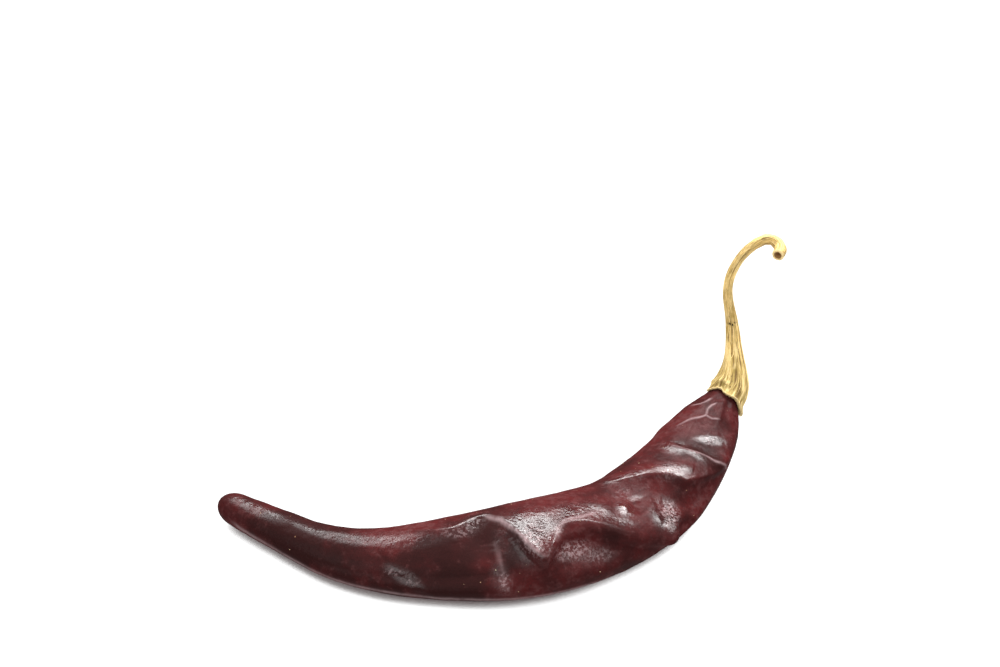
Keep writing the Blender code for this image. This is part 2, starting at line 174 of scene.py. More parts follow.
# where drying pushed and pulled the skin
foldSettings = {
    # Ledges: the skin stays high up to a line, then sags in a flat hollow. Each place on the line has a
    # distance, degrees, the degrees from which the skin runs straight out to the line, depth of the hollow,
    # and millimetres from the line to its deepest part. An upright ledge is read straight round the section.
    # The others have the side of the line that the hollow lies on. Then come the height of the lip on the
    # line, millimetres over which the skin falls, height of the shoulder and its way back from the line, and
    # where the hollow has risen again, in shares of the way to its deepest part.
    "ledges": [
        {"places": [
            (18, 108, 99, 0.0, 5.0), (26, 98, 99, 0.1, 5.0), (32, 90, 99, 0.4, 6.0),
            (38, 80, 99, 0.8, 7.0), (44, 75, 99, 0.9, 8.0), (50, 77, 99, 1.1, 9.0),
            (56, 83, 99, 1.6, 9.5), (61, 87, 99, 2.0, 10.0), (65, 82, 99, 2.5, 10.0),
            (69.2, 71, 99, 3.0, 10.5), (71.9, 74, 99, 3.0, 10.5), (73.9, 84, 99, 2.6, 10.0),
            (75.9, 100, 99, 2.0, 8.5), (77.4, 116, 100, 1.3, 7.0), (78.9, 129, 104, 0.8, 6.0),
            (80.3, 137, 108, 0.5, 6.0), (81.8, 131, 104, 0.8, 6.0), (83.4, 121, 98, 1.2, 6.5),
            (84.8, 114, 95, 1.6, 7.0), (86.5, 111, 93, 1.8, 7.0), (88.6, 111, 92, 1.9, 7.0),
            (90.4, 114, 93, 1.8, 7.0), (94.4, 126, 100, 1.2, 6.0), (97, 136, 112, 0.8, 5.0),
            (100.8, 152, 136, 0.6, 4.5), (104, 165, 142, 0.6, 4.0), (106, 173, 132, 0.6, 4.0),
            (107.4, 172, 130, 0.6, 4.0), (108.8, 162, 130, 0.7, 4.0), (110.4, 157, 130, 0.7, 4.0),
            (112.6, 159, 134, 0.6, 4.0), (114.8, 167, 145, 0.5, 4.0), (118, 180, 175, 0.3, 4.0),
            (122, 190, 190, 0.0, 4.0)],
         "upright": True, "lip": 0.10, "fall": 4.8, "shoulder": (0.0, 2.0), "return": 3.0},
        {"places": [
            (101, 50, 99, 0.0, 3.0), (105, 70, 99, 1.0, 6.0), (107.8, 78, 99, 1.7, 6.5),
            (112.6, 89, 99, 2.4, 7.0), (116.4, 105, 106, 2.7, 7.0), (117.4, 117, 114, 2.7, 7.0),
            (118.6, 128, 118, 2.6, 6.5), (120.8, 135, 122, 2.2, 6.0), (125.6, 148, 136, 1.4, 5.0),
            (132.4, 172, 165, 0.6, 4.0), (136, 192, 192, 0.0, 4.0)],
         "upright": False, "side": 1, "lip": 0.1, "fall": 1.8, "shoulder": (0.30, 1.8), "return": 2.2},
        {"places": [
            (124, 58, 99, 0.0, 3.0), (128, 72, 99, 0.3, 3.0), (127.2, 99, 99, 0.5, 3.2),
            (128.4, 114, 112, 0.7, 3.2), (129, 129, 124, 0.8, 3.2), (132.4, 170, 168, 0.5, 3.0),
            (135, 192, 192, 0.0, 3.0)],
         "upright": False, "side": -1, "lip": 0.12, "fall": 1.4, "shoulder": (0.25, 1.5), "return": 5.0},
        {"places": [
            (131.7, 108, 108, 0.0, 2.5), (134.1, 119, 119, 0.2, 2.5), (136.5, 132, 126, 0.35, 2.6),
            (140.3, 149, 140, 0.5, 2.8), (142, 158, 148, 0.5, 2.8), (144.5, 180, 176, 0.4, 2.8),
            (146, 200, 200, 0.0, 2.5)],
         "upright": False, "side": -1, "lip": 0.1, "fall": 1.3, "shoulder": (0.25, 1.4), "return": 4.5},
    ],
    # the skin that runs straight out to a ledge: highest lift, degrees that it spans, millimetres from the
    # line where it ends, depth of the hollow at which it is whole
    "highestLift": 3.0,
    "widestLift": 60,
    "liftFade": (5, 9),
    "liftDepth": 0.4,
    # the ledges die out under the front, from these degrees on, so the outline stays plain
    "frontFade": 26,
    "frontEdge": [(0, 162), (95, 162), (106, 180), (115, 170), (124, 156), (135, 154), (150, 160)],
    # swellings: distance, degrees, length, width in degrees, height
    "bulges": [
        (101.3, 113, 1.6, 7, 0.40),
        (108.5, 132, 4.5, 13, 0.45),
    ],
    # hollows: distance, degrees, half length, half width in degrees, depth, slant, and where the rim is
    # crisp: 0 towards the neck, 90 down the front, -90 up to the top, 180 towards the tip
    "hollows": [
        (104.4, 120, 2.8, 13, 0.60, 0, 180),
        (38.0, 150, 22.0, 44, 0.15, 0, -90),
        (143.0, 98, 10.0, 24, 0.60, 0, 90),
        (147.0, 140, 9.0, 26, 0.50, 0, -90),
    ],
    # crests: height, gentle side, steep side, which side is steep, and the places the crest runs through
    "crests": [
        (0.30, 2.5, 1.2, 1, [(50, 138), (52.5, 157), (57, 180), (60, 198)]),
        (0.50, 1.6, 0.9, 1, [(71.4, 128), (71.8, 150), (72.4, 186)]),
        (0.26, 0.5, 0.35, 1, neckRidges[0]),
        (0.26, 0.5, 0.35, -1, neckRidges[1]),
        (0.24, 0.5, 0.35, 1, neckRidges[2]),
        (0.45, 1.6, 0.6, 1, [
            (6, 196), (28, 204), (50, 208), (66, 202), (85, 206), (97, 206), (106, 197), (115, 190)]),
    ],
    "crestRounding": 0.02,
    # hollows on the sides that face away: the range that each of their values is drawn from
    "back": {
        "seed": 11, "count": 30, "along": (16, 148), "around": (-80, 22), "length": (6, 13),
        "width": (20, 42), "depth": (0.35, 0.95), "slant": (-40, 40), "crisp": (-180, 180),
    },
    # pleats that gather the skin at the neck
    "pleats": 11,
    "pleatDepth": 0.20,
    "pleatLength": 15.0,
    "pleatTwist": 0.12,
    # folds are shallower where the pod is slim, and end at the belly and at both ends
    "slimming": 6.67,
    "slimmest": 0.25,
    "bellyHalf": (30, 50),
    "tipPlain": 14,
    "neckPlain": (4, 1),
}


def sectionSizes(along):
    return readTable(podSettings["sections"], along)


def endRounding(along):
    rounding = 1.0
    for cap, inside in (("tipCap", along), ("neckCap", podEnd - along)):
        reach, bluntness = podSettings[cap]
        rounding = rounding * np.sqrt(1 - (1 - np.clip(inside / reach, 0, 1)) ** bluntness)
    return rounding


def backHollows():
    # drawn from a fixed seed, one after another from the tip to the neck
    back = foldSettings["back"]
    draw = np.random.default_rng(back["seed"])
    start, end = back["along"]
    parts = "around", "length", "width", "depth", "slant", "crisp"
    found = []
    for i in range(back["count"]):
        along = start + (end - start) * (i + draw.uniform(0.1, 0.9)) / back["count"]
        found.append((along, *[draw.uniform(*back[part]) for part in parts]))
    return found


def fromLine(along, around, perDegree, places):
    # signed distance in millimetres from a line on the skin, and how far along the line the nearest spot is
    best = np.full(len(along), 1e9)
    signed = np.zeros(len(along))
    spot = np.zeros(len(along))
    for i, (start, end) in enumerate(zip(places[:-1], places[1:])):
        runX, runY = end[0] - start[0], (end[1] - start[1]) * perDegree
        offX, offY = along - start[0], degreesApart(around, start[1]) * perDegree
        share = np.clip((offX * runX + offY * runY) / (runX ** 2 + runY ** 2), 0, 1)
        away = np.hypot(offX - share * runX, offY - share * runY)
        across = (runX * offY - runY * offX) / np.hypot(runX, runY)
        closer = away - 0.001 * np.abs(across) < best
        best = np.where(closer, away - 0.001 * np.abs(across), best)
        signed = np.where(closer, np.sign(across) * away, signed)
        spot = np.where(closer, i + share, spot)
    return signed, spot


def crestHeight(along, around, perDegree, crest):
    height, gentle, steep, side, places = crest
    signed, spot = fromLine(along, around, perDegree, places)
    reach = np.where(signed * side > 0, steep, gentle)
    return height * np.exp(-np.sqrt((signed / reach) ** 2 + foldSettings["crestRounding"]))


def ledgeHeight(along, around, perDegree, radius, ledge):
    f = foldSettings
    table = np.array(ledge["places"])
    if ledge["upright"]:
        # the line is read straight round the section, so high skin may reach down between two hollows
        inside = np.clip(along, table[0, 0], table[-1, 0])
        turn, straight, drop, width = readTable(table, inside).T
        across = degreesApart(around, turn) * perDegree
    else:
        signed, spot = fromLine(along, around, perDegree, ledge["places"])
        across = signed * ledge["side"]
        order = np.arange(len(table))
        straight, drop, width = (np.interp(spot, order, table[:, part]) for part in (2, 3, 4))
    drop = np.maximum(drop, 0)
    span = np.radians(np.clip(degreesApart(around, straight), 0, f["widestLift"]))
    raised = f["highestLift"] * np.tanh(radius * (1 / np.cos(span) - 1) / f["highestLift"])
    raised = raised * (1 - smoothStep(-across, *f["liftFade"])) * smoothStep(drop, 0, f["liftDepth"])
    height, back = ledge["shoulder"]
    ridge = height * np.exp(-((across + back) / back) ** 2) + ledge["lip"] * np.exp(-np.abs(across))
    fallen = smoothStep(across, 0, ledge["fall"])
    share = np.maximum(across, 0) / width
    sag = np.where(share < 1, share * (2 - share), 1 - smoothStep(share, 1, ledge["return"]))
    edge = np.interp(along, *np.array(f["frontEdge"]).T)
    front = 1 - smoothStep(around - edge, 0, f["frontFade"])
    return ((raised + ridge * np.clip(drop, 0, 1)) * (1 - fallen) - drop * sag) * front


def hollowDepth(along, around, perDegree, hollow):
    # a dent that breaks off crisply on one side and fades out on the other
    middle, turn, length, width, depth, slant, crisp = hollow
    offAlong = along - middle
    offAround = degreesApart(around, turn) * perDegree
    lean = math.radians(slant)
    first = (offAlong * math.cos(lean) + offAround * math.sin(lean)) / length
    second = (offAround * math.cos(lean) - offAlong * math.sin(lean)) / (width * perDegree)
    inside = np.clip(1 - first ** 2 - second ** 2, 0, 1)
    facing = np.arctan2(second, first) - math.radians(crisp)
    sharp = 0.5 + 0.5 * np.cos(facing) * smoothStep(np.hypot(first, second), 0.0, 0.6)
    return depth * (sharp * inside + (1 - sharp) * inside ** 2)


def skinRelief(along, around):
    # millimetres that the skin stands outside its plain section
    f = foldSettings
    wide, thick = sectionSizes(along).T
    perDegree = math.pi / 180 * (wide + thick) / 2
    radius = np.hypot(wide * np.cos(np.radians(around)), thick * np.sin(np.radians(around)))
    relief = np.zeros_like(along)
    for middle, turn, length, width, height in f["bulges"]:
        off = ((along - middle) / length) ** 2 + (degreesApart(around, turn) / width) ** 2
        relief += height * np.exp(-off)
    for ledge in f["ledges"]:
        relief += ledgeHeight(along, around, perDegree, radius, ledge)
    for crest in f["crests"]:
        relief += crestHeight(along, around, perDegree, crest)
    for hollow in f["hollows"] + backHollows():
        relief -= hollowDepth(along, around, perDegree, hollow)
    size = np.clip(perDegree * f["slimming"], f["slimmest"], 1)
    belly = smoothStep(np.abs(degreesApart(around, 270)), *f["bellyHalf"])
    pleats = f["pleatDepth"] * smoothStep(along, neckAt - f["pleatLength"], neckAt)
    pleats = pleats * np.sin(np.radians(around * f["pleats"]) + along * f["pleatTwist"])
    start, end = f["neckPlain"]
    keep = smoothStep(along, 0, f["tipPlain"]) * (1 - smoothStep(along, neckAt - start, neckAt - end))
    return (relief * size * belly + pleats) * keep


def podOffsets(along, turn, relief=None):
    wide, thick = sectionSizes(along).T
    sideways = wide * np.cos(turn)
    upward = thick * np.sin(turn)
    if relief is None:
        relief = skinRelief(along, np.degrees(turn))
    scale = (1 + relief / np.hypot(sideways, upward)) * endRounding(along)
    return sideways * scale, upward * scale


def inScene(name, data):
    # a new object of the scene round a mesh, a lamp or a camera
    made = bpy.data.objects.new(name, data)
    bpy.context.scene.collection.objects.link(made)
    return made


def tubeMesh(name, rings, around, places):
    # rings of points between two closing points: places holds the first end, each ring, then the last end
    last = rings * around + 1
    faces = []
    for j in range(around):
        faces.append((0, 1 + (j + 1) % around, 1 + j))
        faces.append((last, last - around + j, last - around + (j + 1) % around))
    for i in range(rings - 1):
        row = 1 + i * around
        for j in range(around):
            right = (j + 1) % around
            faces.append((row + j, row + right, row + around + right, row + around + j))
    mesh = bpy.data.meshes.new(name)
    mesh.from_pydata((places * mm).tolist(), [], faces)
    mesh.shade_smooth()
    return inScene(name, mesh)


def keepValue(made, name, values):
    # stores a number or a vector for each point, which the shader reads by name
    kind, field = ("FLOAT_VECTOR", "vector") if values.ndim == 2 else ("FLOAT", "value")
    made.data.attributes.new(name, kind, "POINT").data.foreach_set(field, values.astype(np.float32).ravel())


def ringGrid(distances, around):
    # distance and angle of every point of a tube whose two ends are single points
    turns = np.arange(around) / around * 2 * math.pi
    along = np.concatenate([distances[:1], np.repeat(distances[1:-1], around), distances[-1:]])
    turn = np.concatenate([[0.0], np.tile(turns, len(distances) - 2), [0.0]])
    return along, turn


skinLook = {
    "dark": (0.021, 0.0062, 0.0060, 1),
    "maroon": (0.046, 0.0095, 0.0098, 1),
    "red": (0.060, 0.0085, 0.0087, 1),
    "haze": (0.084, 0.030, 0.030, 1),
    "specular": 0.25,
    "roughness": (0.07, 0.30),
    "dullRoughness": 0.34,
    "plainRoughness": 0.8,
    # share of the skin's mirror that is lost where it is dull
    "dullShare": 0.84,
    # noise over the skin: scale, detail, roughness, distortion
    "patterns": {
        "cloudy": (55.0, 3.0),
        "mottled": (260.0, 4.0, 0.62),
        "speckled": (620.0, 4.0, 0.65),
        "grain": (1100.0, 3.0, 0.6),
        "pits": (1300.0, 3.0, 0.65),
        "wrinkles": (480.0, 4.0, 0.62, 0.4),
        "pores": (1900.0, 2.0, 0.6),
    },
    "hazeShare": 0.6,
    "grainShare": 0.5,
    "glintShare": 0.46,
    # strength and distance in metres of the wrinkles and of the fine grain on them
    "wrinkleBump": (0.36, 0.0004),
    "grainBump": (0.52, 0.0002),
    # where a patch starts to fade, and where it has gone, in shares of its half size
    "shinyEdge": (0.5, 1.3),
    "pocksAndGlintsEdge": (0.3, 1.2),
    # where the skin keeps its shine: distance from the tip, degrees, half length, half width in degrees,
    # slant in degrees a millimetre, share of the shine that it keeps
    "shiny": [
        (12, 100, 9, 22, 0, 0.8), (40, 97, 17, 12, 0, 0.85), (54, 100, 8, 13, 0, 0.9),
        (66, 82, 6, 16, -2, 1), (79, 112, 7, 42, 0, 1), (91, 103, 6.5, 15, 1.5, 1),
        (101.2, 115, 2.4, 12, 0, 1), (105.4, 105, 2.6, 5, 1, 0.6), (109, 148, 4.4, 20, 0, 1),
        (109.5, 80, 5.5, 7, 2.3, 1), (118.3, 109, 3.4, 19, 3, 1), (126.8, 88, 3.0, 17, 0, 1),
        (127.6, 112, 1.4, 22, 0, 0.7), (135.5, 126, 2.6, 15, 7, 1), (53, 162, 4, 16, 4, 1),
        (72, 165, 2, 24, 0, 1), (88, 152, 6, 15, 2, 1), (97.5, 127, 3, 7, 3, 0.7),
    ],
    # the pale pink-grey that painted highlights and painted glints are mixed towards
    "paintedHighlightColour": (0.31, 0.215, 0.22, 1),
    # share of the painted highlight at a line's ends, and how many of its steps it takes to grow
    "highlightAtEnds": 0.35,
    "highlightGrowth": (-0.1, 0.6),
    # lines of painted highlight along crests, and of painted reflection along the lower rim: half width in
    # millimetres, how pale, places
    "paintedHighlight": [
        (0.26, 0.60, neckRidges[0]),
        (0.24, 0.65, neckRidges[1]),
        (0.24, 0.60, neckRidges[2]),
        (0.34, 0.75, [(70.6, 72), (73.8, 86), (75.4, 99), (77.0, 111), (78.2, 128), (80.0, 140)]),
        (0.40, 0.50, [(83.6, 127), (84.6, 115), (87.0, 107), (90.2, 108), (94.4, 107)]),
        (0.30, 0.60, [(127.2, 85), (128.0, 108), (129.4, 128), (129.6, 142), (133.8, 187)]),
        # the pale line along the lower rim is a painted reflection of the table
        (0.55, 0.40, [(8, 178), (10.4, 184), (26.2, 194), (40, 200), (62, 198), (82.8, 203), (95, 206)]),
        (0.40, 0.20, [(72.0, 112), (72.4, 156), (72.4, 182)]),
    ],
    # patches of small pocks, whose pale spots are painted glints of highlight: distance, degrees, half
    # length, half width in degrees, how dense
    "pocksAndGlints": [
        (86.5, 146, 4.5, 15, 1), (91.5, 164, 3, 10, 0.6), (72.5, 172, 1.3, 15, 0.9),
        (110.0, 148, 3.8, 15, 1.2), (50.8, 156, 2.2, 9, 0.8), (54.5, 170, 2.2, 9, 0.6),
        (79.5, 120, 3.5, 24, 0.9), (64.2, 92, 4.2, 9, 0.6), (67.6, 80, 2.4, 8, 0.8),
        (39, 100, 11, 6, 0.25), (118, 104, 4.5, 14, 0.5), (135, 122, 2.2, 16, 0.6),
        (104, 92, 3, 8, 0.4),
    ],
}


def patchShare(along, around, edge, middle, toward, length, width, slant=0):
    # 1 in the middle of an oval patch of skin and 0 outside it; slant is in degrees a millimetre
    aside = degreesApart(around, toward + slant * (along - middle))
    return 1 - smoothStep(np.hypot((along - middle) / length, aside / width), *edge)


def makePod():
    share = np.linspace(0, 1, podSettings["ringsAlong"])
    share = share - podSettings["crowding"] * np.sin(2 * math.pi * share) / (2 * math.pi)
    along, turn = ringGrid(share * podEnd, podSettings["ringsAround"])
    around = np.degrees(turn)
    plain = spine.place(along, *podOffsets(along, turn, 0 * along))
    waves = podSettings["ripples"]
    ripples = sum(high * fractalNoise(plain, size, 3, shift) for high, size, shift in waves)
    relief = skinRelief(along, around) + ripples * smoothStep(along, 0, podSettings["ripplesStart"])
    places = spine.place(along, *podOffsets(along, turn, relief))
    places[:, 2] = np.maximum(places[:, 2], 0)
    made = tubeMesh("podSkin", len(share) - 2, podSettings["ringsAround"], places)
    dull = 1 + 0 * along
    for *patch, shine in skinLook["shiny"]:
        dull *= 1 - shine * patchShare(along, around, skinLook["shinyEdge"], *patch)
    keepValue(made, "dull", dull)
    perDegree = math.pi / 180 * sectionSizes(along).mean(1)
    # pale lines of painted highlight and painted reflection, which the shader mixes into the skin's colour
    paintedHighlight = 0 * along
    for halfWidth, pale, line in skinLook["paintedHighlight"]:
        signed, spot = fromLine(along, around, perDegree, line)
        grown = smoothStep(np.minimum(spot, len(line) - 1 - spot), *skinLook["highlightGrowth"])
        paleness = pale * (skinLook["highlightAtEnds"] + (1 - skinLook["highlightAtEnds"]) * grown)
        paintedHighlight = np.maximum(paintedHighlight, paleness * np.exp(-(signed / halfWidth) ** 2))
    keepValue(made, "paintedHighlight", paintedHighlight)
    # patches of small pocks, whose pale spots are painted glints of highlight
    pocksAndGlints = 0 * along
    for *patch, density in skinLook["pocksAndGlints"]:
        pocksAndGlints = np.maximum(pocksAndGlints, density * patchShare(along, around, skinLook["pocksAndGlintsEdge"], *patch))
    keepValue(made, "pocksAndGlints", pocksAndGlints)
    return made


stemSettings = {
    "ringsUp": 250,
    "ringsAround": 132,
    # the rings stand a little closer near the rim
    "crowding": 1.1,
    # distance from the calyx's rim, radius
    "profile": [
        (0.0, 4.95), (2.4, 4.80), (5.0, 4.40), (7.5, 3.80), (10.0, 3.05), (13.0, 2.35), (16.0, 1.95),
        (20.0, 1.65), (24.0, 1.36), (28.0, 1.18), (33.0, 1.14), (39.0, 1.18), (45.0, 1.32), (54.0, 1.60),
    ],
    # inside of the cup: distance from the pod's end, share of the neck's radius; last rings, from the rim
    "cup": [(0.4, 0.0), (0.4, 0.45), (-0.5, 1.0), (-1.4, 1.0)],
    "cupEdge": (0.8, 0.0),
    "cupGap": 0.16,
    "cupWall": 0.36,
    # the cut end and its pit: distance from the stem's end, radius
    "end": [
        (-0.5, 1.58), (-0.2, 1.53), (-0.03, 1.36), (0.0, 1.16), (-0.04, 1.02), (-0.14, 0.92),
        (-0.30, 0.828), (-0.42, 0.46), (-1.6, 0.368), (-1.7, 0.0),
    ],
    "endLength": 0.9,
    "pitRings": 5,
    # how far the rim lies behind the pod's neck, how far it tilts and towards which turn, how far one side
    # leans out and how far up, and where the calyx has narrowed from its grip on the pod
    "rimBack": 1.0,
    "rimTilt": (0.8, 0.5),
    "lean": 0.85,
    "leanReach": 8.5,
    "flare": 4.5,
    # ribs: how many, height, twist, where they are whole, where they fade and by how much
    "ribs": 5,
    "ribHeight": 0.055,
    "ribTwist": 0.15,
    "ribStart": 3,
    "ribFade": (12, 32),
    "ribLoss": 0.6,
    # teeth of the rim: waves round it, turn, share; how far they reach up outside and inside; the fray
    # between them: height, radius that its noise is read on, size
    "teeth": [(5, 0.9, 1.0), (3, 2.1, 0.45)],
    "toothLength": 0.55,
    "toothReach": 7.0,
    "cupReach": 2.4,
    "fray": (0.45, 6, 0.9),
    # woody grain: radius and stretch that its noise is read on, size, drift; height on the stem and more on
    # the calyx, which ends between two heights
    "grainRing": 1.6,
    "grainStretch": 0.045,
    "grainSize": 0.42,
    "grainDrift": 0.012,
    "grainHeight": (0.056, 0.096),
    "calyxGrain": (4, 16),
    "endGrain": 0.3,
    # knobs on the hook: height, how close, sway round it
    "knobs": (0.07, 2.3, 1.2),
    "knobsFrom": (40, 46),
    # a crack across the stem: distance from the tip, radians round it, half length in radians, then its
    # depth, soft edge and waver
    "crackAt": (173.8, 2.3, 1.3),
    "crackDepth": 0.22,
    "crackEdge": (0.12, 0.45),
    "crackWaver": (0.25, 5),
}
rimAt = neckAt - stemSettings["rimBack"]


def roundPlace(radius, turn, height):
    # a place on a plain upright cylinder, so that noise read there closes round the stem
    return np.stack([radius * np.cos(turn), radius * np.sin(turn), height], -1)


def woodGrain(turn, height):
    # fibres that run up the stem and drift a little round it
    s = stemSettings
    places = roundPlace(s["grainRing"], turn + s["grainDrift"] * height, height * s["grainStretch"])
    return fractalNoise(places, s["grainSize"], 3, 5.0)


def stemRings():
    # distance from the tip and radius of each ring: the cup's inside, the stem from its rim up, the cut end
    s = stemSettings
    rings = [(podEnd + off, share) for off, share in s["cup"]]
    rings += [(rimAt + off, 1.0) for off in s["cupEdge"]]
    cupRings = len(rings)
    heights = (spine.length - s["endLength"] - rimAt) * np.linspace(0, 1, s["ringsUp"]) ** s["crowding"]
    rings += list(zip(rimAt + heights, readTable(s["profile"], heights)[:, 0]))
    rings += [(spine.length + off, radius) for off, radius in s["end"]]
    return np.array(rings), cupRings


def rimShift(turn):
    # millimetres that each spot of the rim stands up the pod: teeth, fray and tilt
    s = stemSettings
    depth, ring, size = s["fray"]
    fray = depth * fractalNoise(roundPlace(ring, turn, 0 * turn), size, 3, 2.0)
    teeth = sum(share * np.sin(count * turn + shift) for count, shift, share in s["teeth"])
    tilt, toward = s["rimTilt"]
    return s["toothLength"] * teeth + fray + tilt * np.cos(turn - toward)


def crackShare(along, turn):
    # 1 in the crack and 0 outside it
    middle, toward, length = stemSettings["crackAt"]
    height, waves = stemSettings["crackWaver"]
    aside = (turn - toward + math.pi) % (2 * math.pi) - math.pi
    across = np.abs(along - middle - height * np.sin(waves * aside))
    gap = 1 - smoothStep(across, *stemSettings["crackEdge"])
    return gap * (1 - smoothStep(np.abs(aside), 0.6 * length, length))


def makeWood():
    s = stemSettings
    table, cupRings = stemRings()
    ringAt, turn = ringGrid(np.arange(len(table), dtype=float), s["ringsAround"])
    ring = ringAt.astype(int)
    along, radius = table[ring].T
    height = np.maximum(along - rimAt, 0)
    inCup = ring < cupRings
    atEnd = ring >= cupRings + s["ringsUp"]
    inPit = ring >= len(table) - s["pitRings"]
    toothReach = np.where(inCup, s["cupReach"], s["toothReach"])
    along = along + rimShift(turn) * (1 - smoothStep(height / toothReach))
    # the cup follows the pod's neck inside, and grips it outside
    neck = np.hypot(*podOffsets(np.minimum(along, podEnd) - s["cupGap"], turn)) + s["cupGap"]
    wide, thick = sectionSizes(np.minimum(along, podEnd)).T
    grip = np.hypot(wide * np.cos(turn), thick * np.sin(turn)) + s["cupGap"] + s["cupWall"]
    ribbed = smoothStep(height, 0, s["ribStart"]) * (1 - s["ribLoss"] * smoothStep(height, *s["ribFade"]))
    ribs = 1 + s["ribHeight"] * ribbed * np.sin(s["ribs"] * turn + s["ribTwist"] * height)
    flare = 1 - smoothStep(height, 0, s["flare"])
    lean = s["lean"] * (1 - np.cos(turn)) / 2 * (1 - smoothStep(height, 0, s["leanReach"]))
    outside = radius * ribs * (1 - flare) + grip * flare + lean
    onStem, onCalyx = s["grainHeight"]
    grain = onStem + onCalyx * (1 - smoothStep(height, *s["calyxGrain"]))
    outside = outside + np.where(atEnd, s["endGrain"], 1.0) * grain * woodGrain(turn, height)
    knob, spacing, sway = s["knobs"]
    knobs = knob * smoothStep(height, *s["knobsFrom"]) * np.sin(height * spacing + sway * np.sin(turn))
    crack = crackShare(along, turn)
    outside = outside + knobs * ~atEnd - s["crackDepth"] * crack
    radius = np.where(inCup, radius * neck, np.where(radius < 0.01, 0, outside))
    places = spine.place(along, radius * np.cos(turn), radius * np.sin(turn))
    made = tubeMesh("calyxStem", len(table) - 2, s["ringsAround"], places)
    keepValue(made, "woodPlace", roundPlace(s["grainRing"], turn, along - rimAt))
    keepValue(made, "pit", inPit.astype(float))
    atLip = (ring > cupRings + s["ringsUp"]) & ~inPit
    keepValue(made, "rim", np.where(inCup | atLip, 1, 1 - smoothStep(height, 0, 0.5)))
    keepValue(made, "crack", crack)
    return made


class Sock:
    # an output socket that takes part in sums like a number
    def __init__(self, tree, socket):
        self.tree = tree
        self.socket = socket

    def maths(self, operation, first, second):
        return Nodes(self.tree).add("ShaderNodeMath", {"operation": operation}, {0: first, 1: second})

    def __add__(self, other):
        return self.maths("ADD", self, other)

    def __sub__(self, other):
        return self.maths("SUBTRACT", self, other)

    def __rsub__(self, other):
        return self.maths("SUBTRACT", other, self)

    def __mul__(self, other):
        return self.maths("MULTIPLY", self, other)

    __radd__ = __add__
    __rmul__ = __mul__

    def out(self, name):
        # another output of the same node
        return Sock(self.tree, self.socket.node.outputs[name])


def plug(tree, slot, value):
    if isinstance(value, Sock):
        tree.links.new(value.socket, slot)
    else:
        slot.default_value = value


class Nodes:
    # a node tree and the calls that fill it
    def __init__(self, tree):
        self.tree = tree

    def add(self, kind, settings=None, sockets=None, out=0):
        # makes one node and gives the output that is asked for
        node = self.tree.nodes.new(kind)
        for name, value in (settings or {}).items():
            setattr(node, name, value)
        for name, value in (sockets or {}).items():
            plug(self.tree, node.inputs[name], value)
        return Sock(self.tree, node.outputs[out]) if node.outputs else None

    def noise(self, place, scale, detail=3.0, rough=0.55, bent=0.0):
        sockets = {"Vector": place, "Scale": scale, "Detail": detail}
        sockets.update({"Roughness": rough, "Distortion": bent})
        return self.add("ShaderNodeTexNoise", None, sockets, "Fac")

    def band(self, value, low, high, smallest=0.0, largest=1.0):
        # a soft step from smallest to largest while the value goes from low to high
        sockets = {"Value": value, "From Min": low, "From Max": high, "To Min": smallest, "To Max": largest}
        return self.add("ShaderNodeMapRange", {"interpolation_type": "SMOOTHSTEP"}, sockets)

    def mix(self, factor, first, second):
        return self.add("ShaderNodeMix", {"data_type": "RGBA"}, {0: factor, 6: first, 7: second}, 2)

    def stored(self, name, out="Fac"):
        return self.add("ShaderNodeAttribute", {"attribute_name": name}, None, out)

    def stretched(self, place, scale):
        return self.add("ShaderNodeVectorMath", {"operation": "MULTIPLY"}, {0: place, 1: scale})

    def named(self, name, kind):
        return self.add("GeometryNodeInputNamedAttribute", {"data_type": kind}, {"Name": name}, "Attribute")

    def scaled(self, vector, factor):
        return self.add("ShaderNodeVectorMath", {"operation": "SCALE"}, {0: vector, "Scale": factor})

    def noiseAt(self, first, second):
        # smooth noise that is read at two numbers, the first of them a fibre's own
        place = self.add("ShaderNodeCombineXYZ", None, {0: first * 3.7, 1: second, 2: 0.5})
        return self.noise(place, 1.0, 1.0)

    def wave(self, operation, angle):
        return self.add("ShaderNodeMath", {"operation": operation}, {0: angle})

    def bump(self, height, strength, distance, under=None):
        sockets = {"Height": height, "Strength": strength, "Distance": distance}
        if under is not None:
            sockets["Normal"] = under
        return self.add("ShaderNodeBump", None, sockets)


class Finish(Nodes):
    # a material with its main shader, and the place on the piece that its patterns are read at
    def __init__(self, name, specular):
        self.material = bpy.data.materials.new(name)
        self.material.use_nodes = True
        super().__init__(self.material.node_tree)
        self.shader = self.tree.nodes["Principled BSDF"]
        self.feed("Specular IOR Level", specular)
        self.place = self.add("ShaderNodeTexCoord", out="Object")

    def feed(self, socket, value):
        plug(self.tree, self.shader.inputs[socket], value)


